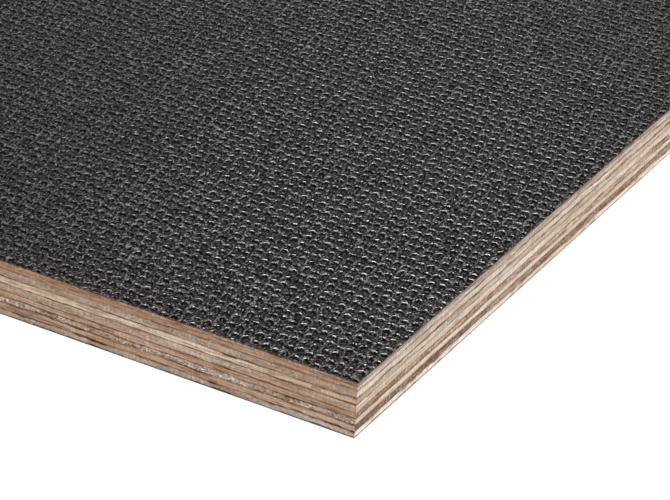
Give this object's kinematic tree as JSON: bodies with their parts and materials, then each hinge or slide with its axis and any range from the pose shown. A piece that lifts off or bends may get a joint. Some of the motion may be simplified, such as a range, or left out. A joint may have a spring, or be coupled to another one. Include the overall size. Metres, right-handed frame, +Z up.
{
  "type": "anti-slip film-faced plywood sheet",
  "caption": "Flat rectangular plywood sheet with a dark wire-mesh anti-slip film on top, crossed wood veneers showing at the sawn edges and a smooth dark film underneath.",
  "frame": {"origin": "centre of the underside of the sheet", "axes": "+X along the sheet's length and its face grain, +Y across the sheet, +Z up out of the patterned face"},
  "size_m": [0.6, 0.4, 0.015],
  "materials": {
    "mesh_film": "satin, pressed with a wire mesh",
    "back_film": "satin, smooth",
    "long_veneer": "raw, sawn",
    "cross_veneer": "raw, sawn"
  },
  "bodies": {
    "root": {"mesh_film": "mesh_film", "face_ply": "long_veneer", "cross_ply_2": "cross_veneer", "core_ply_3": "long_veneer", "cross_ply_4": "cross_veneer", "core_ply_5": "long_veneer", "cross_ply_6": "cross_veneer", "core_ply_7": "long_veneer", "cross_ply_8": "cross_veneer", "back_ply": "long_veneer", "back_film": "back_film"}
  },
  "joints": []
}
